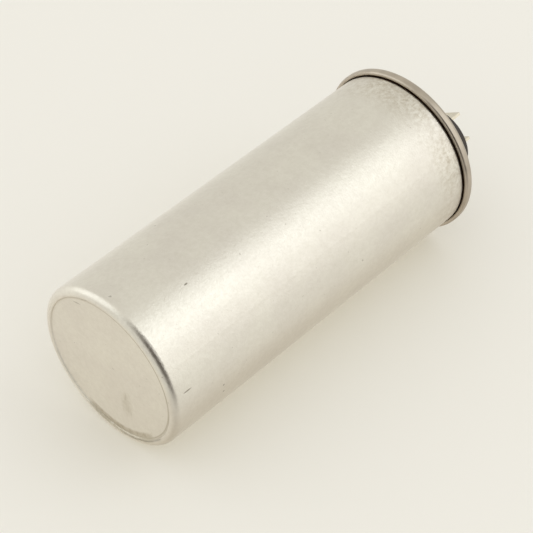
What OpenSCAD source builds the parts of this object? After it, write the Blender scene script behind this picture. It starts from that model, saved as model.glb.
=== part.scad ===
// Motor run capacitor in a round aluminium can.
// It stands on its base with the Z axis up the middle of the can, the base land at Z = 0
// and the two terminals on the X axis. All sizes are in millimetres.

/* [Can] */
// Outside diameter of the can's body
can_d = 50; // [44:0.5:60]
// Height from the base land to the top of the seam
can_h = 120; // [80:1:160]
// Thickness of the can's wall
can_wall = 0.45; // [0.35:0.01:0.6]
// Thickness of the base panel
base_t = 0.8; // [0.6:0.05:1.5]
// Radius of the rounded foot edge
foot_r = 2.0; // [1.2:0.1:3]
// Width of the flat land that the can stands on
land_w = 0.4; // [0.3:0.05:1]
// Depth of the base panel's recess
recess_depth = 0.3; // [0.2:0.05:0.5]
// Width of the smooth slope between the land and the recess
slope_w = 0.6; // [0.5:0.1:2.5]
// Radius of the inside corner between floor and wall
floor_r = 1.2; // [0.6:0.1:2]

/* [Double seam] */
// Thickness of the lid's sheet
lid_sheet = 0.5; // [0.35:0.01:0.6]
// Distance that the wall is drawn in where it enters the seam
neck_in = 0.2; // [0.1:0.05:0.4]
// Height of the sloping neck
neck_h = 0.6; // [0.2:0.05:1]
// Gap between the neck and the seam's lower edge
neck_gap = 0.1; // [0.05:0.05:0.5]
// Clearance between the rolled layers
seam_gap = 0.03; // [0.02:0.005:0.06]
// Height of the rolled seam
seam_h = 3.0; // [2.6:0.1:4]
// Clearance between the cover hook's end and the compound
hook_end_gap = 0.1; // [0.05:0.01:0.2]
// Radius of the bead of sealing compound
compound_r = 0.2; // [0.1:0.01:0.22]

/* [Lid] */
// Depth of the lid's panel below the top of the seam
lid_depth = 5.4; // [4.5:0.1:8]
// Inside corner radius between the panel and the chuck wall
lid_corner_r = 1.0; // [0.5:0.1:1.5]

/* [Terminal cups] */
// Gap between a cup and the lid's chuck wall
cup_edge_gap = 1.2; // [1.1:0.1:3]
// Gap between the two cups
cup_gap = 2.8; // [2:0.1:6]
// Thickness of a cup's wall
cup_wall = 1.4; // [1:0.1:2]
// Thickness of a cup's floor
cup_floor = 2.6; // [2:0.1:4]
// Height of a cup's edge above the top of the seam
cup_rise = 4.1; // [3:0.1:9]
// Chamfer on a cup's edge
cup_chamfer = 0.3; // [0.1:0.05:0.5]
// Round under a cup's outer edge
cup_foot_r = 0.6; // [0.3:0.1:1]
// Wall of the collar that passes through the lid
collar_wall = 1.8; // [1.2:0.1:2.5]
// Depth of the pocket that holds the tab bracket
pocket_depth = 0.5; // [0.3:0.05:0.7]
// Side clearance of the bracket in its pocket
pocket_gap = 0.15; // [0.1:0.05:0.4]

/* [Seals and washers] */
// Thickness of the rubber gasket under a cup
gasket_t = 1.0; // [0.8:0.1:1.6]
// Width of the gasket's ring
gasket_w = 3.4; // [2:0.1:4.5]
// Thickness of the insulating washer under the lid
washer_t = 1.2; // [0.8:0.1:2]
// Width of the washer's ring
washer_w = 2.8; // [2:0.1:4]
// Clearance round a collar in the gasket, the lid and the washer
collar_gap = 0.1; // [0.05:0.01:0.2]

/* [Tabs] */
// Width of a quick-connect tab
tab_w = 6.35; // [4.75:0.05:8]
// Thickness of a quick-connect tab
tab_t = 0.8; // [0.5:0.05:1]
// Height of the tab tips above the cup's edge
tab_rise = 8.4; // [4:0.1:12]
// Chamfer at the tip's corners
tab_chamfer = 0.6; // [0.3:0.1:1.5]
// Bevel at the tip's faces
tab_bevel = 0.2; // [0.1:0.02:0.22]
// Inside bend radius of the bracket
tab_bend_r = 0.4; // [0.2:0.05:0.6]
// Diameter of the detent hole
detent_d = 1.8; // [1.4:0.1:2.2]
// Distance from the tip to the detent hole's centre
detent_from_tip = 3.8; // [3:0.1:5]

/* [Rivets] */
// Diameter of a rivet's shank
rivet_d = 4.0; // [3:0.1:5]
// Clearance round a shank
rivet_gap = 0.05; // [0.02:0.01:0.1]
// Diameter of a rivet's head
rivet_head_d = 6.4; // [5.6:0.1:8]
// Height of a rivet's domed head
rivet_head_h = 1.3; // [0.8:0.1:2]
// Clearance between a rivet's head and the tabs beside it
rivet_side_gap = 0.4; // [0.2:0.05:1]
// Height of the clinched end under the tag
clinch_h = 1.0; // [0.6:0.1:1.5]
// Diameter of the clinched end
clinch_d = 6.0; // [5.2:0.1:7]

/* [Solder tags] */
// Thickness of a solder tag
tag_t = 0.5; // [0.3:0.05:0.8]
// Width of a tag's rim round its rivet
tag_rim = 1.9; // [1.4:0.1:2.6]
// Width of a tag's arm
tag_arm_w = 4.0; // [3:0.1:5]
// Distance from the right rivet to its lead
tag_reach = 8.0; // [7:0.1:9]

/* [Leads] */
// Diameter of a lead wire
lead_d = 1.2; // [0.8:0.1:1.6]
// Bend radius of a lead at its centre line
lead_bend_r = 2.0; // [1.5:0.1:2.5]
// Length of a lead's foot on the sprayed metal, past its bend
lead_foot = 5.0; // [3:0.1:8]
// Length of lead that stands above its tag
lead_end = 0.4; // [0.2:0.1:0.6]
// Clearance round a lead
lead_gap = 0.05; // [0.02:0.01:0.1]
// Width of the line under a lead's foot that no solder reaches
bare_line_w = 0.8; // [0.6:0.05:1]
// Wall of a lead's sleeve
sleeve_wall = 0.5; // [0.3:0.05:0.7]
// Distance from a sleeve's top to the tag
sleeve_short = 2.0; // [1.5:0.1:2.6]
// Clearance round a sleeve in the stay plate
sleeve_gap = 0.2; // [0.1:0.05:0.4]
// Radius of the solder round a tag's lead
tag_solder_r = 1.6; // [1.2:0.1:1.8]
// Height of the solder on a tag
tag_solder_h = 0.9; // [0.5:0.1:1]
// Radius of the solder on the sprayed metal
spray_solder_r = 2.8; // [2:0.1:3.5]
// Radius of that solder at its top
spray_solder_top_r = 1.6; // [1:0.1:1.9]
// Height of the solder on the sprayed metal
spray_solder_h = 1.8; // [1.5:0.1:2.2]

/* [Winding] */
// Outside diameter of the core tube
core_d = 12; // [10:0.5:16]
// Wall of the core tube
core_wall = 1.5; // [1:0.1:2]
// Thickness of the sprayed metal on each end
spray_t = 0.6; // [0.4:0.05:1]
// Thickness of the outer wrap
wrap_t = 0.4; // [0.2:0.05:0.8]
// Clearance between the rolled, sprayed and wrapped layers
roll_gap = 0.02; // [0.01:0.01:0.05]

/* [Insulation] */
// Thickness of the resin between the wrap and the can
resin_t = 1.3; // [1.1:0.05:2.5]
// Clearance on the resin's two sides
resin_gap = 0.03; // [0.02:0.01:0.05]
// Thickness of the bottom cup's floor
bottom_floor = 1.0; // [0.6:0.1:1.5]
// Thickness of the bottom cup's wall
bottom_wall = 0.8; // [0.6:0.05:0.9]
// Height of the bottom cup's wall above the winding's lower end
bottom_lap = 9; // [5:0.5:20]
// Height of the ribs that carry the winding
rib_h = 3.4; // [3:0.1:5]
// Thickness of the ribs
rib_t = 1.6; // [1:0.1:2.5]
// Number of ribs
rib_count = 6; // [4:2:10]
// Height of the spacer ring on the winding
spacer_h = 4.0; // [3:0.1:6]
// Width of the spacer ring
spacer_w = 3.0; // [2:0.1:4]
// Thickness of the stay plate
stay_t = 1.5; // [1:0.1:2]
// Free height between the stay plate and the clinched rivets
stay_room = 2.6; // [2:0.1:5]
// Clearance between the insulation and the can
fit_gap = 0.3; // [0.2:0.05:0.5]

/* [Hidden] */
$fn = 96;
// Overshoot of a cut past the face that it opens
cut = 1;

// Radii of the can and of the seam's layers, from the inside out
can_r = can_d / 2;
bore_r = can_r - can_wall;
neck_r = can_r - neck_in;
neck_bore_r = neck_r - can_wall;
chuck_out_r = neck_bore_r - seam_gap;
chuck_in_r = chuck_out_r - lid_sheet;
cover_hook_r = neck_r + seam_gap;
body_hook_r = cover_hook_r + lid_sheet + seam_gap;
seam_wall_r = body_hook_r + can_wall + seam_gap;
seam_out_r = seam_wall_r + lid_sheet;

// Centres and inside radii of the three seam bends
body_bend_in = (body_hook_r - neck_r) / 2;
body_bend_x = neck_r + body_bend_in;
lid_bend_in = body_bend_in + can_wall + seam_gap;
lower_bend_in = (seam_wall_r - cover_hook_r - lid_sheet) / 2;
lower_bend_x = seam_wall_r - lower_bend_in;
top_bend_z = can_h - lid_bend_in - lid_sheet;
lower_bend_z = can_h - seam_h + lower_bend_in + lid_sheet;
cover_hook_end = top_bend_z + body_bend_in - 2 * compound_r - hook_end_gap;
neck_z = can_h - seam_h - neck_gap - neck_h;

// Heights of the lid and of what stands on it
panel_top = can_h - lid_depth;
panel_under = panel_top - lid_sheet;
cup_under = panel_top + gasket_t;
cup_inside_z = cup_under + cup_floor;
cup_top = can_h + cup_rise;
bracket_z = cup_inside_z - pocket_depth;
tab_top = cup_top + tab_rise;

// Plan sizes of the terminals
cup_d = chuck_in_r - cup_edge_gap - cup_gap / 2;
terminal_x = (cup_d + cup_gap) / 2;
rivet_hole_d = rivet_d + 2 * rivet_gap;
collar_d = rivet_hole_d + 2 * collar_wall;
collar_hole_d = collar_d + 2 * collar_gap;
tab_pitch = rivet_head_d + 2 * rivet_side_gap + tab_t;
bracket_l = tab_pitch + tab_t;

// Heights under the lid, going down
washer_under = panel_under - washer_t;
tag_under = washer_under - tag_t;
clinch_under = tag_under - clinch_h;
tag_rim_d = rivet_hole_d + 2 * tag_rim;

// Heights of the insulation and the winding
floor_z = recess_depth + base_t;
rib_z = floor_z + bottom_floor;
roll_under = rib_z + rib_h;
stay_top = clinch_under - stay_room;
stay_under = stay_top - stay_t;
roll_top = stay_under - spacer_h;
film_under = roll_under + spray_t;
film_top = roll_top - spray_t;

// Radii of the insulation and the winding
wrap_out_r = bore_r - resin_t - 2 * resin_gap;
wrap_in_r = wrap_out_r - wrap_t;
film_r = wrap_in_r - roll_gap;
film_bore_r = core_d / 2 + roll_gap;
fit_r = bore_r - fit_gap;
bottom_in_r = fit_r - bottom_wall;

// Leads
lead_r = lead_d / 2;
lead_hole_d = lead_d + 2 * lead_gap;
sleeve_in_d = lead_hole_d;
sleeve_d = sleeve_in_d + 2 * sleeve_wall;
lead_top = washer_under + lead_end;
sleeve_top = tag_under - sleeve_short;
right_foot_z = roll_top + lead_r + lead_gap;
left_foot_z = roll_under - lead_r - lead_gap;
// Distance from each lead's upright to the middle of its joint, which lies clear of the core
right_joint = lead_bend_r + lead_foot / 2;
left_joint = core_d / 2 + spray_solder_r + fit_gap;

// ---- Shapes that repeat ----

// Upper half of a ring section, drawn in the XY plane
module upper_bend(inside, sheet) {
  intersection() {
    difference() {
      circle(r = inside + sheet);
      circle(r = inside);
    }
    translate([-inside - sheet, 0]) square([2 * (inside + sheet), inside + sheet]);
  }
}

// Lower half of a ring section
module lower_bend(inside, sheet) {
  mirror([0, 1]) upper_bend(inside, sheet);
}

// Lower right quarter of a ring section
module corner_bend(inside, sheet) {
  intersection() {
    difference() {
      circle(r = inside + sheet);
      circle(r = inside);
    }
    translate([0, -inside - sheet]) square([inside + sheet, inside + sheet]);
  }
}

// Rectangle in radius and height, from (r0, z0) to (r1, z1)
module band(r0, z0, r1, z1) {
  translate([r0, z0]) square([r1 - r0, z1 - z0]);
}

// Block of radius and height with its lower outer corner rounded
module rounded_block(radius, z0, z1, round_r) {
  band(0, z0, radius - round_r, z1);
  band(0, z0 + round_r, radius, z1);
  translate([radius - round_r, z0 + round_r]) circle(r = round_r);
}

// Round tube standing on height z0
module tube(r_in, r_out, z0, z1) {
  rotate_extrude() band(r_in, z0, r_out, z1);
}

// Copies its child to one terminal: side is 1 for the right one and -1 for the left
module at_terminal(side) {
  translate([side * terminal_x, 0, 0]) children();
}

// ---- Can and lid ----

// Outline of the recess under the base, with a slope of two arcs that meet halfway
module recess_outline() {
  mouth_r = can_r - foot_r - land_w;
  flat_r = mouth_r - slope_w;
  halfway_r = mouth_r - slope_w / 2;
  slope_r = (pow(slope_w, 2) + pow(recess_depth, 2)) / (4 * recess_depth);
  band(0, -cut, flat_r, recess_depth);
  intersection() {
    translate([flat_r, recess_depth - slope_r]) circle(r = slope_r);
    band(flat_r, -cut, halfway_r, recess_depth + cut);
  }
  difference() {
    band(halfway_r, -cut, mouth_r, recess_depth);
    translate([mouth_r, slope_r]) circle(r = slope_r);
  }
}

// The body hook turns out and down from the wall's top edge
module body_hook() {
  translate([body_bend_x, top_bend_z]) upper_bend(body_bend_in, can_wall);
  band(body_hook_r, lower_bend_z, body_hook_r + can_wall, top_bend_z);
}

// Half outline of a vessel with a rounded foot, drawn in by neck_in below its top
module necked_block(radius, z0, z1, round_r) {
  rounded_block(radius, z0, neck_z, round_r);
  polygon([
    [0, neck_z], [radius, neck_z], [radius - neck_in, neck_z + neck_h], [radius - neck_in, z1], [0, z1]
  ]);
}

module can() {
  color("silver")
  rotate_extrude() {
    difference() {
      necked_block(can_r, 0, top_bend_z, foot_r);
      necked_block(bore_r, floor_z, top_bend_z + cut, floor_r);
      recess_outline();
    }
    body_hook();
  }
}

// The panel, the chuck wall, and the sheet rolled over and under the body hook
module lid_outline() {
  band(0, panel_under, chuck_in_r - lid_corner_r, panel_top);
  translate([chuck_in_r - lid_corner_r, panel_top + lid_corner_r]) corner_bend(lid_corner_r, lid_sheet);
  band(chuck_in_r, panel_top + lid_corner_r, chuck_out_r, top_bend_z);
  translate([body_bend_x, top_bend_z]) upper_bend(lid_bend_in, lid_sheet);
  band(seam_wall_r, lower_bend_z, seam_out_r, top_bend_z);
  translate([lower_bend_x, lower_bend_z]) lower_bend(lower_bend_in, lid_sheet);
  band(cover_hook_r, lower_bend_z, cover_hook_r + lid_sheet, cover_hook_end);
}

module lid() {
  color("lightgray")
  difference() {
    rotate_extrude() lid_outline();
    for (side = [-1, 1])
      at_terminal(side) translate([0, 0, panel_under - cut])
        cylinder(d = collar_hole_d, h = lid_sheet + 2 * cut);
  }
}

// Bead of compound in the space over the cover hook
module seam_compound() {
  color("darkgoldenrod")
  rotate_extrude() translate([body_bend_x, top_bend_z + body_bend_in - compound_r - seam_gap])
    circle(r = compound_r);
}

// ---- Terminals above the lid ----

// Cup with a collar that reaches through the lid into the washer
module cup() {
  collar_end = washer_under + collar_gap;
  color("#26241f")
  difference() {
    union() {
      rotate_extrude() difference() {
        rounded_block(cup_d / 2, cup_under, cup_top, cup_foot_r);
        polygon([
          [cup_d / 2 - cup_chamfer, cup_top], [cup_d / 2, cup_top - cup_chamfer],
          [cup_d / 2 + cut, cup_top - cup_chamfer], [cup_d / 2 + cut, cup_top + cut],
          [cup_d / 2 - cup_chamfer, cup_top + cut]
        ]);
      }
      translate([0, 0, collar_end]) cylinder(d = collar_d, h = cup_under - collar_end + cup_floor / 2);
    }
    translate([0, 0, cup_inside_z]) cylinder(d = cup_d - 2 * cup_wall, h = cup_top);
    translate([0, 0, collar_end - cut]) cylinder(d = rivet_hole_d, h = cup_top);
    translate([-tab_w / 2 - pocket_gap, -bracket_l / 2 - pocket_gap, bracket_z])
      cube([tab_w + 2 * pocket_gap, bracket_l + 2 * pocket_gap, cup_floor]);
  }
}

module gasket() {
  color("#3a3a3a")
  tube(collar_hole_d / 2, collar_hole_d / 2 + gasket_w, panel_top, cup_under);
}

// Section of the bracket across its two tabs
module bracket_section() {
  bend_y = bracket_l / 2 - tab_t - tab_bend_r;
  for (side = [0, 1]) mirror([side, 0]) {
    band(0, bracket_z, bend_y, bracket_z + tab_t);
    translate([bend_y, bracket_z + tab_t + tab_bend_r]) corner_bend(tab_bend_r, tab_t);
    polygon([
      [bracket_l / 2 - tab_t, bracket_z + tab_t + tab_bend_r],
      [bracket_l / 2, bracket_z + tab_t + tab_bend_r],
      [bracket_l / 2, tab_top - 2 * tab_bevel],
      [bracket_l / 2 - tab_bevel, tab_top],
      [bracket_l / 2 - tab_t + tab_bevel, tab_top],
      [bracket_l / 2 - tab_t, tab_top - 2 * tab_bevel]
    ]);
  }
}

// Front view of a tab, with its tip's corners cut
module tab_front() {
  polygon([
    [-tab_w / 2, bracket_z], [tab_w / 2, bracket_z],
    [tab_w / 2, tab_top - tab_chamfer], [tab_w / 2 - tab_chamfer, tab_top],
    [-tab_w / 2 + tab_chamfer, tab_top], [-tab_w / 2, tab_top - tab_chamfer]
  ]);
}

// Two tabs folded up from one strip
module tabs() {
  color("gainsboro")
  difference() {
    intersection() {
      translate([-tab_w / 2, 0, 0]) rotate([90, 0, 90]) linear_extrude(tab_w) bracket_section();
      translate([0, bracket_l / 2, 0]) rotate([90, 0, 0]) linear_extrude(bracket_l) tab_front();
    }
    translate([0, 0, bracket_z - cut]) cylinder(d = rivet_hole_d, h = tab_t + 2 * cut);
    translate([0, bracket_l / 2 + cut, tab_top - detent_from_tip])
      rotate([90, 0, 0]) cylinder(d = detent_d, h = bracket_l + 2 * cut);
  }
}

// Domed head on the bracket, shank through the collar, clinched end under the tag
module rivet() {
  head_z = bracket_z + tab_t;
  dome_r = (pow(rivet_head_d / 2, 2) + pow(rivet_head_h, 2)) / (2 * rivet_head_h);
  color("goldenrod")
  rotate_extrude() {
    polygon([
      [0, clinch_under], [clinch_d / 2 - clinch_h / 2, clinch_under],
      [clinch_d / 2, tag_under - clinch_h / 2], [clinch_d / 2, tag_under],
      [rivet_d / 2, tag_under], [rivet_d / 2, head_z + rivet_head_h / 2], [0, head_z + rivet_head_h / 2]
    ]);
    intersection() {
      translate([0, head_z + rivet_head_h - dome_r]) circle(r = dome_r);
      band(0, head_z, rivet_head_d / 2, head_z + rivet_head_h);
    }
  }
}

// ---- Terminals under the lid ----

module washer() {
  color("sienna")
  tube(collar_hole_d / 2, collar_hole_d / 2 + washer_w, washer_under, panel_under);
}

// Flat tag: a ring on the rivet with an arm out to the lead's hole
module tag(reach) {
  color("khaki")
  translate([0, 0, tag_under]) linear_extrude(tag_t) difference() {
    union() {
      circle(d = tag_rim_d);
      translate([0, -tag_arm_w / 2]) square([reach, tag_arm_w]);
      translate([reach, 0]) circle(d = tag_arm_w);
    }
    circle(d = rivet_hole_d);
    translate([reach, 0]) circle(d = lead_hole_d);
  }
}

// Cone of solder under the tag, round the lead
module tag_solder() {
  color("gray")
  rotate_extrude() polygon([
    [lead_hole_d / 2, tag_under], [tag_solder_r, tag_under],
    [lead_hole_d / 2 + tag_solder_r / 4, tag_under - tag_solder_h],
    [lead_hole_d / 2, tag_under - tag_solder_h]
  ]);
}

// Lead standing on the Z axis, with a foot that turns off along +X and reaches past its joint
module lead(foot_z, joint) {
  color("peru") {
    translate([0, 0, foot_z + lead_bend_r]) cylinder(r = lead_r, h = lead_top - foot_z - lead_bend_r);
    translate([lead_bend_r, 0, foot_z + lead_bend_r]) rotate([90, 180, 0])
      rotate_extrude(angle = 90) translate([lead_bend_r, 0]) circle(r = lead_r);
    translate([lead_bend_r, 0, foot_z]) rotate([0, 90, 0])
      cylinder(r = lead_r, h = joint - lead_bend_r + lead_foot / 2);
  }
}

module sleeve(z0) {
  color("ivory")
  tube(sleeve_in_d / 2, sleeve_d / 2, z0, sleeve_top);
}

// Cone of solder over a lead's foot, standing on height 0, with the foot's own space cut out of it
module foot_solder() {
  foot_l = lead_foot + lead_bend_r;
  color("gray")
  difference() {
    rotate_extrude() polygon([
      [0, 0], [spray_solder_r, 0], [spray_solder_top_r, spray_solder_h], [0, spray_solder_h]
    ]);
    translate([-foot_l, -bare_line_w / 2, -cut]) cube([2 * foot_l, bare_line_w, cut + lead_r + lead_gap]);
    translate([-foot_l, 0, lead_r + lead_gap]) rotate([0, 90, 0]) cylinder(d = lead_hole_d, h = 2 * foot_l);
  }
}

// ---- Winding and insulation ----

// Sprayed metal disc with the core's bore left open
module end_spray(z0) {
  color("darkgray")
  tube(film_bore_r, film_r, z0, z0 + spray_t);
}

module stay_plate() {
  color("burlywood")
  difference() {
    translate([0, 0, stay_under]) cylinder(r = fit_r, h = stay_t);
    for (at = [[0, 0], [terminal_x, tag_reach]])
      translate([at[0], at[1], stay_under - cut])
        cylinder(d = sleeve_d + 2 * sleeve_gap, h = stay_t + 2 * cut);
  }
}

// Floor, wall and radial ribs that hold the winding off the can's floor
module bottom_cup() {
  color("whitesmoke")
  union() {
    rotate_extrude() difference() {
      rounded_block(fit_r, floor_z, roll_under + bottom_lap, floor_r);
      band(0, rib_z, bottom_in_r, roll_under + bottom_lap + cut);
    }
    for (i = [0 : rib_count - 1])
      rotate([0, 0, (i + 0.5) * 360 / rib_count])
        translate([core_d / 2 - core_wall, -rib_t / 2, rib_z - bottom_floor / 2])
          cube([film_r - core_d / 2, rib_t, rib_h + bottom_floor / 2]);
  }
}

// ---- Nodes ----

module right_cup() { at_terminal(1) cup(); }
module left_cup() { at_terminal(-1) cup(); }
module right_gasket() { at_terminal(1) gasket(); }
module left_gasket() { at_terminal(-1) gasket(); }
module right_tabs() { at_terminal(1) tabs(); }
module left_tabs() { at_terminal(-1) tabs(); }
module right_rivet() { at_terminal(1) rivet(); }
module left_rivet() { at_terminal(-1) rivet(); }
module right_washer() { at_terminal(1) washer(); }
module left_washer() { at_terminal(-1) washer(); }
// The right tag's arm points along +Y, and the left one's reaches the can's axis
module right_tag() { at_terminal(1) rotate([0, 0, 90]) tag(tag_reach); }
module left_tag() { at_terminal(-1) tag(terminal_x); }
module right_tag_solder() { translate([terminal_x, tag_reach, 0]) tag_solder(); }
module left_tag_solder() { tag_solder(); }
module right_lead() {
  translate([terminal_x, tag_reach, 0]) rotate([0, 0, 180]) lead(right_foot_z, right_joint);
}
module left_lead() { lead(left_foot_z, left_joint); }
module right_sleeve() { translate([terminal_x, tag_reach, 0]) sleeve(right_foot_z + lead_bend_r); }
module left_sleeve() { sleeve(left_foot_z + lead_bend_r); }
module right_spray_solder() { translate([terminal_x - right_joint, tag_reach, roll_top]) foot_solder(); }
module left_spray_solder() { translate([left_joint, 0, roll_under]) mirror([0, 0, 1]) foot_solder(); }
module top_spacer() { color("whitesmoke") tube(fit_r - spacer_w, fit_r, roll_top, stay_under); }
module upper_end_spray() { end_spray(film_top); }
module lower_end_spray() { end_spray(roll_under); }
module film_winding() { color("lightsteelblue") tube(film_bore_r, film_r, film_under, film_top); }
module winding_core() { color("white") tube(core_d / 2 - core_wall, core_d / 2, roll_under, roll_top); }
module winding_wrap() { color("lemonchiffon") tube(wrap_in_r, wrap_out_r, roll_under, roll_top); }
module filling_resin() {
  color("tan") tube(wrap_out_r + resin_gap, bore_r - resin_gap, roll_under + bottom_lap, roll_top);
}

can();
lid();
seam_compound();
right_cup();
left_cup();
right_gasket();
left_gasket();
right_tabs();
left_tabs();
right_rivet();
left_rivet();
right_washer();
left_washer();
right_tag();
left_tag();
right_tag_solder();
left_tag_solder();
right_lead();
left_lead();
right_sleeve();
left_sleeve();
right_spray_solder();
left_spray_solder();
stay_plate();
top_spacer();
upper_end_spray();
lower_end_spray();
film_winding();
winding_core();
winding_wrap();
bottom_cup();
filling_resin();
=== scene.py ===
import math

import bpy
from mathutils import Matrix, Vector


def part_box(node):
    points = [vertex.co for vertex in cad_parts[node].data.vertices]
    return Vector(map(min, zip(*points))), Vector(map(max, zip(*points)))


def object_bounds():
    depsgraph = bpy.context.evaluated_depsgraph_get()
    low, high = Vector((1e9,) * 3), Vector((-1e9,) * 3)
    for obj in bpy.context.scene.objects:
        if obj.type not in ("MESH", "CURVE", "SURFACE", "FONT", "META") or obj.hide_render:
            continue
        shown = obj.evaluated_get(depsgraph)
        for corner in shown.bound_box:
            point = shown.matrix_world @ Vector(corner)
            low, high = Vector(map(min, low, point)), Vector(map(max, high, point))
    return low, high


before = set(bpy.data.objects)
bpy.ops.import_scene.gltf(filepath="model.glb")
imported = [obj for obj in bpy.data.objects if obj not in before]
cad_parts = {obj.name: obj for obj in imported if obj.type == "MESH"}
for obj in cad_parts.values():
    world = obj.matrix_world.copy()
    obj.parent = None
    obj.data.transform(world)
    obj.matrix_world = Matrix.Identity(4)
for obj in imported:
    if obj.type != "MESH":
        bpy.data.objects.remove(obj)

cad_box = [list(corner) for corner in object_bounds()]

# ---- Can ----
# Deep-drawn aluminium cup, 50 mm across, with a shallow recess in its base and a rounded foot.
# It comes bare and satin from the drawing die. Handling has scuffed it under the rim and left
# grime round the recess. Painted shade darkens the recess ring, the foot on the floor side and the
# crease under the seam.

MM = 0.001
can_low, can_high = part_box("can")
can_r = 25 * MM
seam_low = 117 * MM

# Sockets of a colour Mix node: the share of the second colour, and the two colours
SHARE, FIRST, SECOND = 0, 6, 7


def colour(code):
    """Linear RGBA of an sRGB hex colour."""
    parts = [int(code[i:i + 2], 16) / 255 for i in (1, 3, 5)]
    return [c / 12.92 if c <= 0.04045 else ((c + 0.055) / 1.055) ** 2.4 for c in parts] + [1.0]


def add(tree, kind, inputs=None, **settings):
    """Adds a shader node with its settings. Each input is a value, or a socket or node to link."""
    new = tree.nodes.new("ShaderNode" + kind)
    for name, value in settings.items():
        setattr(new, name, value)
    for name, value in (inputs or {}).items():
        if isinstance(value, bpy.types.Node):
            value = next(out for out in value.outputs if out.enabled)
        if isinstance(value, bpy.types.NodeSocket):
            tree.links.new(value, new.inputs[name])
        else:
            new.inputs[name].default_value = value
    return new


def start_material(name):
    """An empty material and its tree."""
    material = bpy.data.materials.new(name)
    material.use_nodes = True
    material.node_tree.nodes.clear()
    return material, material.node_tree


def start_solid(name):
    """An empty material, with its tree and the place in metres of each point on the object."""
    material, tree = start_material(name)
    return material, tree, add(tree, "TexCoord").outputs["Object"]


def radius_and_height(tree, place):
    """Distance from the can's axis, and height over its base."""
    split = add(tree, "SeparateXYZ", {"Vector": place})
    flat = add(tree, "CombineXYZ", {"X": split.outputs["X"], "Y": split.outputs["Y"]})
    return add(tree, "VectorMath", {0: flat}, operation="LENGTH"), split.outputs["Z"]


def rim_scuffs(tree, place, height, scuff):
    """Share of scuffed metal: a band below the rim, heaviest on the side that rubbed."""
    rubbed_way = (0.82, -0.57, 0.0)
    near_rim = add(tree, "MapRange", {
        "Value": height, "From Min": 103 * MM, "From Max": 114 * MM},
        interpolation_type="SMOOTHSTEP")
    facing = add(tree, "VectorMath", {0: place, 1: rubbed_way}, operation="DOT_PRODUCT")
    rubbed_side = add(tree, "MapRange", {
        "Value": facing, "From Min": 5 * MM, "From Max": 22 * MM, "To Min": 0.6, "To Max": 1.0})
    patches = add(tree, "MapRange", {
        "Value": scuff, "From Min": 0.36, "From Max": 0.68}, interpolation_type="SMOOTHSTEP")
    scuffed = add(tree, "Math", {0: near_rim, 1: rubbed_side}, operation="MULTIPLY")
    return add(tree, "Math", {0: scuffed, 1: patches}, operation="MULTIPLY")


def recess_grime_and_shade(tree, place, radius, cloud):
    """Share of grime and painted shade in an uneven ring on the slope of the recess, darker on one
    side.
    """
    ring_r = 22.15 * MM
    # The side on which the ring's painted shade is darker
    darker_way = (0.9, 0.43, 0.0)
    off_ring = add(tree, "Math", {0: radius, 1: ring_r}, operation="SUBTRACT")
    off_ring = add(tree, "Math", {0: off_ring}, operation="ABSOLUTE")
    ring = add(tree, "MapRange", {
        "Value": off_ring, "From Min": 0.3 * MM, "From Max": 0.55 * MM,
        "To Min": 1.0, "To Max": 0.0}, interpolation_type="SMOOTHSTEP")
    uneven = add(tree, "MapRange", {
        "Value": cloud, "From Min": 0.3, "From Max": 0.7, "To Min": 0.5, "To Max": 1.0})
    facing = add(tree, "VectorMath", {0: place, 1: darker_way}, operation="DOT_PRODUCT")
    darker_side = add(tree, "MapRange", {
        "Value": facing, "From Min": -14 * MM, "From Max": 12 * MM, "To Min": 0.08, "To Max": 1.0})
    ring = add(tree, "Math", {0: ring, 1: uneven}, operation="MULTIPLY")
    return add(tree, "Math", {0: ring, 1: darker_side}, operation="MULTIPLY")


def foot_grime_and_shade(tree, place, radius, scuff):
    """Share of painted shade and grime in a patchy blotch beside the recess, and thin painted shade
    over the floor side.
    """
    # The way toward the floor, where the foot takes painted shade
    floor_way = (-0.375, 0.927, 0.0)
    blotch_edge, blotch_core = math.radians(42), math.radians(24)
    facing = add(tree, "VectorMath", {0: place, 1: floor_way}, operation="DOT_PRODUCT")
    cosine = add(tree, "Math", {0: facing, 1: radius}, operation="DIVIDE")
    blotch = add(tree, "MapRange", {
        "Value": cosine, "From Min": math.cos(blotch_edge), "From Max": math.cos(blotch_core)},
        interpolation_type="SMOOTHSTEP")
    inside = add(tree, "MapRange", {
        "Value": radius, "From Min": 19.6 * MM, "From Max": 21.0 * MM},
        interpolation_type="SMOOTHSTEP")
    outside = add(tree, "MapRange", {
        "Value": radius, "From Min": 22.5 * MM, "From Max": 23.8 * MM,
        "To Min": 1.0, "To Max": 0.0})
    patchy = add(tree, "MapRange", {
        "Value": scuff, "From Min": 0.35, "From Max": 0.62, "To Min": 0.5, "To Max": 1.0})
    for part in (inside, outside, patchy):
        blotch = add(tree, "Math", {0: blotch, 1: part}, operation="MULTIPLY")
    # Thin painted shade over the half that faces the floor
    floor_shade = add(tree, "MapRange", {
        "Value": facing, "From Min": -5 * MM, "From Max": 22 * MM, "To Min": 0.0, "To Max": 0.14})
    return add(tree, "Math", {0: blotch, 1: floor_shade}, operation="MAXIMUM")


def mark(tree, place, middle, turn, halves):
    """1 inside a small spot or line, 0 outside it, from its middle, its turn and its half sizes."""
    local = add(tree, "Mapping", {
        "Vector": place, "Location": middle, "Rotation": turn, "Scale": halves},
        vector_type="TEXTURE")
    length = add(tree, "VectorMath", {0: local}, operation="LENGTH")
    return add(tree, "MapRange", {
        "Value": length, "From Min": 0.5, "From Max": 1.0, "To Min": 1.0, "To Max": 0.0},
        interpolation_type="SMOOTHSTEP")


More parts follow.
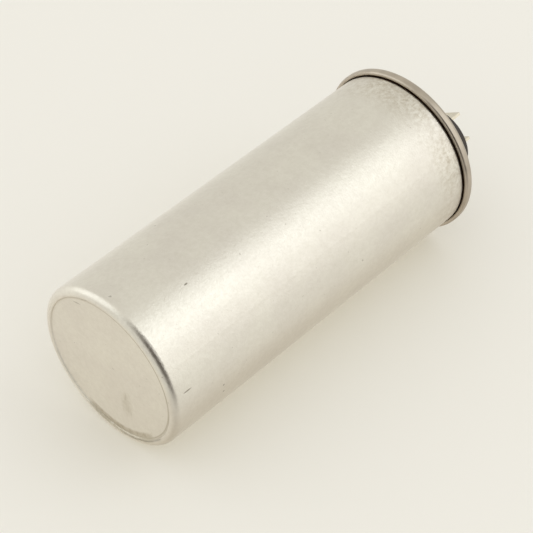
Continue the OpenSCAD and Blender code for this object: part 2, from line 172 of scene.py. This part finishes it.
def base_smudge(tree, place):
    """Share of grime in a smudge on the base. Its streaks are 0.9 mm wide, and longer than that."""
    turn = (0, 0, math.radians(-57))
    middle = Vector((-0.2, 11.6, 0)) * MM
    halves = Vector((6.5, 3, 3)) * MM
    along = add(tree, "Mapping", {
        "Vector": place, "Rotation": turn, "Scale": (4, 1, 1)}, vector_type="TEXTURE")
    streaks = add(tree, "TexNoise", {
        "Vector": along, "Scale": 1 / (0.9 * MM), "Detail": 3.0, "Roughness": 0.6})
    streaks = add(tree, "MapRange", {
        "Value": streaks, "From Min": 0.35, "From Max": 0.65, "To Min": 0.05, "To Max": 0.5})
    smudge = mark(tree, place, middle, turn, halves)
    return add(tree, "Math", {0: smudge, 1: streaks}, operation="MULTIPLY")


def on_can(azimuth, height):
    """Point on the can's side, from degrees round it and millimetres up it."""
    turn = math.radians(azimuth)
    return Vector((can_r * math.cos(turn), can_r * math.sin(turn), height * MM))


def short_marks(tree, place):
    """Share of dirt in the scratches and specks on the side and in two short lines on the base."""
    # Of each mark: its middle, its turn in degrees, its half sizes in millimetres and its strength
    marks = [
        (on_can(-36.0, 20.6), (0, 20, -36), (0.5, 0.3, 0.9), 0.75),
        (on_can(18.0, 5.3), (0, 0, 18), (0.5, 0.25, 1.8), 0.75),
        (on_can(35.5, 17.7), (0, 0, 35), (0.5, 0.4, 0.4), 0.6),
        (on_can(42.2, 17.9), (0, 0, 42), (0.5, 0.4, 0.4), 0.6),
        (Vector((0.4, -20.6, 0.3)) * MM, (0, 0, 18), (1.9, 0.25, 0.6), 0.4),
        (Vector((5.2, -21.8, 0.3)) * MM, (0, 0, -4), (2.2, 0.25, 0.6), 0.45),
    ]
    dirt = 0.0
    for middle, degrees, halves, strength in marks:
        turn = [math.radians(angle) for angle in degrees]
        spot = mark(tree, place, middle, turn, Vector(halves) * MM)
        spot = add(tree, "Math", {0: spot, 1: strength}, operation="MULTIPLY")
        dirt = add(tree, "Math", {0: dirt, 1: spot}, operation="MAXIMUM")
    return dirt


# Satin drawn aluminium: soft wide reflections and a pale warm grey, a little mottled like leather.
# The grain that the die leaves is finer than a tenth of a millimetre. It is drawn as a grain of
# 0.6 mm and a mottling of 1.5 mm, so that it shows.
def satin_aluminium():
    material, tree, place = start_solid("satin_drawn_aluminium")
    radius, height = radius_and_height(tree, place)
    grain = add(tree, "TexNoise", {
        "Vector": place, "Scale": 1 / (0.6 * MM), "Detail": 3.0, "Roughness": 0.6})
    leather = add(tree, "TexNoise", {
        "Vector": place, "Scale": 1 / (1.5 * MM), "Detail": 5.0, "Roughness": 0.75})
    cloud = add(tree, "TexNoise", {
        "Vector": place, "Scale": 1 / (14 * MM), "Detail": 3.0, "Roughness": 0.55})
    scuff = add(tree, "TexNoise", {
        "Vector": place, "Scale": 1 / (1.5 * MM), "Detail": 6.0, "Roughness": 0.75})

    # Clean metal
    cloudy = add(tree, "MapRange", {"Value": cloud, "From Min": 0.35, "From Max": 0.65})
    tone = add(tree, "Mix", {
        SHARE: cloudy, FIRST: colour("#DBD7CE"), SECOND: colour("#E0DDD3")}, data_type="RGBA")
    mottled = add(tree, "MapRange", {
        "Value": leather, "From Min": 0.35, "From Max": 0.68, "To Min": 0.0, "To Max": 0.22})
    tone = add(tree, "Mix", {
        SHARE: mottled, FIRST: tone, SECOND: colour("#B9B3A5")}, data_type="RGBA")

    # Scuffs below the rim, worn through in places
    scuffed = rim_scuffs(tree, place, height, scuff)
    worn = add(tree, "MapRange", {
        "Value": cloud, "From Min": 0.4, "From Max": 0.6, "To Min": 0.25, "To Max": 0.8})
    worn = add(tree, "Math", {0: scuffed, 1: worn}, operation="MULTIPLY")
    tone = add(tree, "Mix", {
        SHARE: worn, FIRST: tone, SECOND: colour("#BCB2A0")}, data_type="RGBA")

    # Grime and painted shade on the base and its slope, which end where the foot rises
    below = add(tree, "MapRange", {
        "Value": height, "From Min": 0.5 * MM, "From Max": 0.9 * MM, "To Min": 1.0, "To Max": 0.0})
    grime_and_shade = recess_grime_and_shade(tree, place, radius, cloud)
    for part in (foot_grime_and_shade(tree, place, radius, scuff), base_smudge(tree, place)):
        grime_and_shade = add(tree, "Math", {0: grime_and_shade, 1: part}, operation="MAXIMUM")
    grime_and_shade = add(tree, "Math", {0: grime_and_shade, 1: below}, operation="MULTIPLY")
    tone = add(tree, "Mix", {
        SHARE: grime_and_shade, FIRST: tone, SECOND: colour("#A9A18E")}, data_type="RGBA")

    # Short marks, and sparse specks of the same dirt
    dots = add(tree, "TexNoise", {
        "Vector": place, "Scale": 1 / (1.3 * MM), "Detail": 1.0, "Roughness": 0.5})
    specks = add(tree, "MapRange", {
        "Value": dots, "From Min": 0.76, "From Max": 0.82, "To Min": 0.0, "To Max": 0.4})
    for dirt in (short_marks(tree, place), specks):
        tone = add(tree, "Mix", {
            SHARE: dirt, FIRST: tone, SECOND: colour("#6B6455")}, data_type="RGBA")

    # Painted shade in the crease where the wall enters the seam
    crease_shade = add(tree, "MapRange", {
        "Value": height, "From Min": seam_low - 0.35 * MM, "From Max": seam_low - 0.1 * MM})
    tone = add(tree, "Mix", {
        SHARE: crease_shade, FIRST: tone, SECOND: colour("#6A5340")}, data_type="RGBA")

    rough = add(tree, "MapRange", {
        "Value": grain, "From Min": 0.3, "From Max": 0.7, "To Min": 0.31, "To Max": 0.40})
    rough = add(tree, "Math", {0: scuffed, 1: 0.12, 2: rough}, operation="MULTIPLY_ADD")
    fine = add(tree, "Bump", {"Height": grain, "Distance": 0.05 * MM, "Strength": 1.0})
    relief = add(tree, "Bump", {
        "Height": leather, "Distance": 0.05 * MM, "Strength": 1.0, "Normal": fine})
    shader = add(tree, "BsdfPrincipled", {
        "Base Color": tone, "Metallic": 1.0, "Roughness": rough, "Normal": relief})
    add(tree, "OutputMaterial", {"Surface": shader})
    return material


def dress(material, *names):
    """Gives the named solids a material."""
    for name in names:
        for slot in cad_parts[name].material_slots:
            slot.material = material


dress(satin_aluminium(), "can")

# ---- Lid and seam ----
# Pressed lid of tinned steel, rolled together with the can's edge in a double seam. A bead of
# sealing compound lies over the cover hook, inside the roll.


# Rolled tinplate: a smooth grey shine that is duller and browner than the can, with faint lines
# round it from the seaming rolls. The lines are drawn 0.25 mm wide, wider than the real ones.
def rolled_tinplate():
    material, tree, place = start_solid("rolled_tinplate")
    radius, height = radius_and_height(tree, place)
    streak = add(tree, "TexNoise", {
        "Vector": place, "Scale": 1 / (4 * MM), "Detail": 3.0, "Roughness": 0.5})
    streaky = add(tree, "MapRange", {"Value": streak, "From Min": 0.35, "From Max": 0.65})
    tone = add(tree, "Mix", {
        SHARE: streaky, FIRST: colour("#ADA497"), SECOND: colour("#BAB1A3")}, data_type="RGBA")

    # Painted shade in the crease between the roll and the can's wall
    inward = add(tree, "MapRange", {
        "Value": radius, "From Min": 25.05 * MM, "From Max": 25.3 * MM,
        "To Min": 1.0, "To Max": 0.0})
    under = add(tree, "MapRange", {
        "Value": height, "From Min": 118.0 * MM, "From Max": 118.4 * MM,
        "To Min": 1.0, "To Max": 0.0})
    outside = add(tree, "Math", {0: radius, 1: 24.6 * MM}, operation="GREATER_THAN")
    crease_shade = add(tree, "Math", {0: inward, 1: under}, operation="MULTIPLY")
    crease_shade = add(tree, "Math", {0: crease_shade, 1: outside}, operation="MULTIPLY")
    tone = add(tree, "Mix", {
        SHARE: crease_shade, FIRST: tone, SECOND: colour("#6A5340")}, data_type="RGBA")

    rough = add(tree, "MapRange", {
        "Value": streak, "From Min": 0.3, "From Max": 0.7, "To Min": 0.3, "To Max": 0.37})
    around = add(tree, "CombineXYZ", {"X": radius, "Y": height})
    lines = add(tree, "TexNoise", {"Vector": around, "Scale": 1 / (0.25 * MM), "Detail": 2.0})
    relief = add(tree, "Bump", {"Height": lines, "Distance": 0.01 * MM, "Strength": 0.5})
    shader = add(tree, "BsdfPrincipled", {
        "Base Color": tone, "Metallic": 1.0, "Roughness": rough, "Normal": relief})
    add(tree, "OutputMaterial", {"Surface": shader})
    return material


def stock(name, first, second, size, roughness, depth, metallic=0.0):
    """A plain material: two near tones and a low relief, in a cloudy pattern of the given size."""
    material, tree, place = start_solid(name)
    pattern = add(tree, "TexNoise", {
        "Vector": place, "Scale": 1 / size, "Detail": 4.0, "Roughness": 0.6})
    cloudy = add(tree, "MapRange", {"Value": pattern, "From Min": 0.35, "From Max": 0.65})
    tone = add(tree, "Mix", {
        SHARE: cloudy, FIRST: colour(first), SECOND: colour(second)}, data_type="RGBA")
    rough = add(tree, "MapRange", {
        "Value": pattern, "From Min": 0.3, "From Max": 0.7,
        "To Min": roughness - 0.04, "To Max": roughness + 0.04})
    relief = add(tree, "Bump", {"Height": pattern, "Distance": depth, "Strength": 0.5})
    shader = add(tree, "BsdfPrincipled", {
        "Base Color": tone, "Metallic": metallic, "Roughness": rough, "Normal": relief})
    add(tree, "OutputMaterial", {"Surface": shader})
    return material


dress(rolled_tinplate(), "lid")

# Water-based rubber compound, dried in place: dull ochre, a little lumpy
dress(
    stock("sealing_compound", "#8C7340", "#7A6436",
          size=1.2 * MM, roughness=0.6, depth=0.02 * MM),
    "seam_compound")

# ---- Terminal cups ----
# Two black cups stand on rubber gaskets, and the collar of each goes through the lid. They are
# moulded in phenolic resin, and keep the tabs clear of the metal lid.

# Moulded phenolic: brownish black with the dull gloss of the mould, and fine flow clouds
dress(
    stock("moulded_phenolic", "#2B221B", "#352B22",
          size=1.5 * MM, roughness=0.45, depth=0.02 * MM),
    "right_cup", "left_cup")

# Cut sheet rubber: black and matt
dress(
    stock("gasket_rubber", "#1C1B1A", "#242322",
          size=1.0 * MM, roughness=0.7, depth=0.02 * MM),
    "right_gasket", "left_gasket")

# ---- Tabs and rivets ----
# Each cup holds a bracket of two quick-connect tabs, stamped from brass strip and tinned. A brass
# rivet holds it down, and carries the current through the collar.

# Tinned brass: a bright pale metal, dulled a little by air
dress(
    stock("tinned_brass", "#D8D2C2", "#CEC7B5",
          size=1.5 * MM, roughness=0.3, depth=0.01 * MM, metallic=1.0),
    "right_tabs", "left_tabs")

# Turned brass: yellow metal, with a smooth head from the riveting punch
dress(
    stock("turned_brass", "#C9A867", "#BD9C5C",
          size=0.8 * MM, roughness=0.3, depth=0.01 * MM, metallic=1.0),
    "right_rivet", "left_rivet")

# ---- Washers, tags and stay plate ----
# Under the lid, a board washer and a solder tag are held by each rivet. A board plate keeps the
# winding away from them.

# Phenolic paper board, punched: warm brown with a faint fibre
dress(
    stock("phenolic_board", "#6B4226", "#7A4D2E",
          size=0.7 * MM, roughness=0.55, depth=0.03 * MM),
    "right_washer", "left_washer", "stay_plate")

# Stamped tag of tinned brass: the tabs' metal, a little duller
dress(
    stock("tinned_tag", "#CFC9BA", "#C4BDAC",
          size=1.5 * MM, roughness=0.32, depth=0.01 * MM, metallic=1.0),
    "right_tag", "left_tag")

# ---- Leads ----
# Sleeved copper wires run from the tags to the sprayed ends of the winding, and are soldered at
# both ends.

# Drawn copper wire: bright, a little browned
dress(
    stock("bare_copper", "#C98A63", "#BD7E58",
          size=0.6 * MM, roughness=0.3, depth=0.01 * MM, metallic=1.0),
    "right_lead", "left_lead")

# Soft solder, set in the air: grey with a frosted skin
dress(
    stock("soft_solder", "#B5B4B1", "#A6A5A2",
          size=0.9 * MM, roughness=0.38, depth=0.05 * MM, metallic=1.0),
    "right_tag_solder", "left_tag_solder", "right_spray_solder", "left_spray_solder")

# Metres over which a ring wave repeats where its scale is 1. A diagonal one takes about 0.36 m.
WAVE = 0.31


# Braided sleeving, varnished: off-white, with the braid drawn about 0.9 mm wide so that it shows
def braided_sleeving():
    material, tree, place = start_solid("braided_sleeving")
    mirrored = add(tree, "Mapping", {"Vector": place, "Scale": (-1, 1, 1)})
    strands = [
        add(tree, "TexWave", {"Vector": way, "Scale": WAVE / (0.8 * MM)},
            wave_type="BANDS", bands_direction="DIAGONAL").outputs["Fac"]
        for way in (place, mirrored)]
    braid = add(tree, "Math", {0: strands[0], 1: strands[1]}, operation="MAXIMUM")
    tone = add(tree, "Mix", {
        SHARE: braid, FIRST: colour("#D9D2BF"), SECOND: colour("#ECE8DC")}, data_type="RGBA")
    relief = add(tree, "Bump", {"Height": braid, "Distance": 0.06 * MM, "Strength": 0.6})
    shader = add(tree, "BsdfPrincipled", {
        "Base Color": tone, "Metallic": 0.0, "Roughness": 0.5, "Normal": relief})
    add(tree, "OutputMaterial", {"Surface": shader})
    return material


dress(braided_sleeving(), "right_sleeve", "left_sleeve")

# ---- Winding ----
# Metallised polypropylene film is rolled on a core tube and held by a wrap. Zinc is sprayed on
# both ends, so that every turn of film meets a lead.


# Metallised film on edge: a cool silver with the turns as rings, drawn 0.3 mm apart to show
def rolled_film():
    material, tree, place = start_solid("rolled_metallised_film")
    turns = add(tree, "TexWave", {
        "Vector": place, "Scale": WAVE / (0.3 * MM), "Distortion": 0.6, "Detail": 1.0},
        wave_type="RINGS", rings_direction="Z").outputs["Fac"]
    tone = add(tree, "Mix", {
        SHARE: turns, FIRST: colour("#A8AFB6"), SECOND: colour("#C0C6CB")}, data_type="RGBA")
    relief = add(tree, "Bump", {"Height": turns, "Distance": 0.02 * MM, "Strength": 0.5})
    shader = add(tree, "BsdfPrincipled", {
        "Base Color": tone, "Metallic": 1.0, "Roughness": 0.27, "Normal": relief})
    add(tree, "OutputMaterial", {"Surface": shader})
    return material


dress(rolled_film(), "film_winding")

# Arc-sprayed zinc: dark matt grey, gritty from the drops
dress(
    stock("sprayed_zinc", "#85878A", "#75777A",
          size=0.4 * MM, roughness=0.6, depth=0.08 * MM, metallic=1.0),
    "upper_end_spray", "lower_end_spray")

# Extruded polypropylene tube: milky white and waxy
dress(
    stock("core_tube", "#EDE9DE", "#E3DED1",
          size=2 * MM, roughness=0.45, depth=0.02 * MM),
    "winding_core")

# Clear wrap in many layers: pale yellow and glossy
dress(
    stock("wrap_film", "#DCD2A0", "#D2C792",
          size=4 * MM, roughness=0.3, depth=0.01 * MM),
    "winding_wrap")

# ---- Insulation ----
# A moulded cup and a ring hold the winding off the can's floor and the stay plate, and resin is
# cast between the wrap and the can's wall.

# Moulded polypropylene: milky white, with a dull even gloss from the mould
dress(
    stock("moulded_polypropylene", "#E9E6DC", "#DFDBCF",
          size=2.5 * MM, roughness=0.42, depth=0.02 * MM),
    "bottom_cup", "top_spacer")

# Cast polyurethane: amber brown with a smooth skin
dress(
    stock("cast_resin", "#A67F4A", "#987341",
          size=6 * MM, roughness=0.35, depth=0.03 * MM),
    "filling_resin")

# ---- Camera ----
# A long lens, half a metre from the can, looks at its side and its base. It is rolled over, so
# that the can lies on its side with the base in front.

aim = Vector((-1.37, 4.59, 59.38)) * MM
camera_distance = 0.5223
azimuth, elevation, roll = math.radians(66.36), math.radians(-30.83), math.radians(52.63)
back = Vector((
    math.sin(azimuth) * math.cos(elevation),
    -math.cos(azimuth) * math.cos(elevation),
    math.sin(elevation)))
camera = bpy.data.objects.new("camera", bpy.data.cameras.new("camera"))
bpy.context.scene.collection.objects.link(camera)
camera.data.lens = 125.9
camera.data.sensor_width = 36
camera.data.clip_start = 0.01
camera.location = aim + back * camera_distance
camera.rotation_mode = "QUATERNION"
level = (-back).to_track_quat("-Z", "Y")
camera.rotation_quaternion = (Matrix.Rotation(roll, 3, back) @ level.to_matrix()).to_quaternion()
bpy.context.scene.camera = camera

# ---- Floors ----
# The can lies on a pale sheet, which touches its side. A second sheet, at the foot's own height,
# shows only from above, for the can standing up. Both show to the camera alone, and glow a little
# in its view, so that their shadows stay as light as in a room with pale walls.

floor_size = 6.0
glow_share = 0.33
upright = Vector((0, 0, 1))
foot_middle = upright * can_low.z

# The can touches the sheet at its foot and at its seam, which is wider and tilts it a little
down = Vector((-0.5375, 0.843, 0)).normalized()
lid_low, lid_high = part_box("lid")
seam_r = (lid_high.x - lid_low.x) / 2
lean = math.asin((seam_r - can_r) / (can_high.z - can_low.z))


def floor_sheet(name, centre, up):
    """A square sheet that the camera sees from its upper side only, with the shadows on it."""
    mesh = bpy.data.meshes.new(name)
    h = floor_size / 2
    mesh.from_pydata([(-h, -h, 0), (h, -h, 0), (h, h, 0), (-h, h, 0)], [], [(0, 1, 2, 3)])
    sheet = bpy.data.objects.new(name, mesh)
    bpy.context.scene.collection.objects.link(sheet)
    turn = up.to_track_quat("Z", "Y").to_matrix().to_4x4()
    sheet.matrix_world = Matrix.Translation(centre) @ turn

    material, tree = start_material(name + "_paper")
    matt = add(tree, "BsdfDiffuse", {"Color": colour("#F5F7F8")})
    glow = add(tree, "Emission", {"Color": colour("#E6D6AC"), "Strength": 1.0})
    paper = add(tree, "MixShader", {0: glow_share, 1: matt, 2: glow})
    path = add(tree, "LightPath")
    behind = add(tree, "NewGeometry").outputs["Backfacing"]
    front = add(tree, "Math", {0: 1.0, 1: behind}, operation="SUBTRACT")
    seen = add(tree, "Math", {0: path.outputs["Is Camera Ray"], 1: front}, operation="MULTIPLY")
    surface = add(tree, "MixShader", {0: seen, 1: add(tree, "BsdfTransparent"), 2: paper})
    add(tree, "OutputMaterial", {"Surface": surface})
    mesh.materials.append(material)


lying_up = Matrix.Rotation(lean, 3, upright.cross(down)) @ -down
floor_sheet("lying_floor", down * can_r + foot_middle, lying_up)
floor_sheet("standing_floor", foot_middle, upright)

# ---- Light ----
# A pale room all round, with soft bright windows, a shaded floor side and one dark corner. One
# window and an oval softbox beside it make the long shine. A wider softbox from below brightens
# the base, and leaves the matt floors alone.

world = bpy.data.worlds.new("pale_room")
bpy.context.scene.world = world
world.use_nodes = True
tree = world.node_tree
tree.nodes.clear()
way = add(tree, "TexCoord").outputs["Generated"]
split = add(tree, "SeparateXYZ", {"Vector": way})
flat = add(tree, "CombineXYZ", {"X": split.outputs["X"], "Y": split.outputs["Y"]})
round_way = add(tree, "VectorMath", {0: flat}, operation="NORMALIZE")


def toward_share(way, direction, edge, core, most):
    """Most within the core angle of a direction, falling to 0 at the edge angle, in degrees."""
    direction = Vector(direction).normalized()
    cosine = add(tree, "VectorMath", {0: way, 1: direction}, operation="DOT_PRODUCT")
    return add(tree, "MapRange", {
        "Value": cosine, "From Min": math.cos(math.radians(edge)),
        "From Max": math.cos(math.radians(core)), "To Max": most},
        interpolation_type="SMOOTHSTEP")


# The window that makes the shine: the way to it, and the angles of its edge and its core
shine_window = ((0.865, 0.0, 0.5), 42, 3)

# Pale walls, shaded toward the floor, whiter round that window, with a dark corner below it
floor_side = toward_share(way, down, 65, 15, 1.0)
room = add(tree, "Mix", {
    SHARE: floor_side, FIRST: colour("#F3F0E8"), SECOND: colour("#DCD3C2")}, data_type="RGBA")
glare = toward_share(way, *shine_window, 1.0)
room = add(tree, "Mix", {
    SHARE: glare, FIRST: room, SECOND: colour("#F6F4F0")}, data_type="RGBA")
dark = toward_share(round_way, (0.996, 0.087, 0), 72, 8, 1.0)
dark_top = add(tree, "MapRange", {
    "Value": split.outputs["Z"], "From Min": -0.12, "From Max": 0.22, "To Min": 1.0, "To Max": 0.0},
    interpolation_type="SMOOTHSTEP")
dark_foot = add(tree, "MapRange", {
    "Value": split.outputs["Z"], "From Min": -0.97, "From Max": -0.7},
    interpolation_type="SMOOTHSTEP")
for part in (dark_top, dark_foot):
    dark = add(tree, "Math", {0: dark, 1: part}, operation="MULTIPLY")
room = add(tree, "Mix", {
    SHARE: dark, FIRST: room, SECOND: colour("#43362A")}, data_type="RGBA")

# The room shows in the view and in reflections. Matt surfaces take plain white light instead.
path = add(tree, "LightPath")
shown = path.outputs["Is Camera Ray"]
for ray in ("Is Glossy Ray", "Is Transmission Ray"):
    shown = add(tree, "Math", {0: shown, 1: path.outputs[ray]}, operation="MAXIMUM")
light = add(tree, "Mix", {
    SHARE: shown, FIRST: colour("#FFFFFF"), SECOND: room}, data_type="RGBA")

# Of each window: the way to it, the angles of its edge and its core, and the light that it adds
room_strength = 0.96
windows = [
    (*shine_window, 0.38),
    ((0.7, 0.6, 0.4), 75, 5, 0.15),
    ((-0.1, -0.85, 0.5), 60, 5, 0.02),
    ((-0.84, 0.36, -0.41), 40, 5, 0.2),
    ((-0.93, 0.15, 0.3), 30, 5, 0.24),
    ((0.33, -0.93, -0.15), 30, 5, 0.2),
    ((-0.77, -0.54, -0.34), 50, 5, 0.18),
]
window = 0.0
for values in windows:
    window = add(tree, "Math", {0: window, 1: toward_share(way, *values)}, operation="ADD")
strength = add(tree, "Math", {0: window, 1: shown, 2: room_strength}, operation="MULTIPLY_ADD")
sky = add(tree, "Background", {"Color": light, "Strength": strength})
add(tree, "OutputWorld", {"Surface": sky})

lamp_distance = 0.9
part_middle = (Vector(cad_box[0]) + Vector(cad_box[1])) / 2


def softbox(name, toward, size, power, tint):
    """An oval area lamp that faces the object's middle."""
    lamp = bpy.data.lights.new(name, "AREA")
    lamp.shape = "ELLIPSE"
    lamp.size, lamp.size_y = size
    lamp.energy = power
    lamp.color = colour(tint)[:3]
    holder = bpy.data.objects.new(name, lamp)
    bpy.context.scene.collection.objects.link(holder)
    holder.location = part_middle + toward.normalized() * lamp_distance
    holder.rotation_mode = "QUATERNION"
    holder.rotation_quaternion = toward.to_track_quat("Z", "Y")
    return holder


softbox("softbox_main", Vector((0.8, -0.39, 0.37)), (0.72, 0.55), 0.59, "#F3FAFF")
foot = softbox("softbox_foot", Vector((-0.32, -0.8, -0.5)), (1.1, 0.9), 1.3, "#F4FBFF")
foot.visible_diffuse = False

bpy.context.scene.view_settings.view_transform = "Standard"
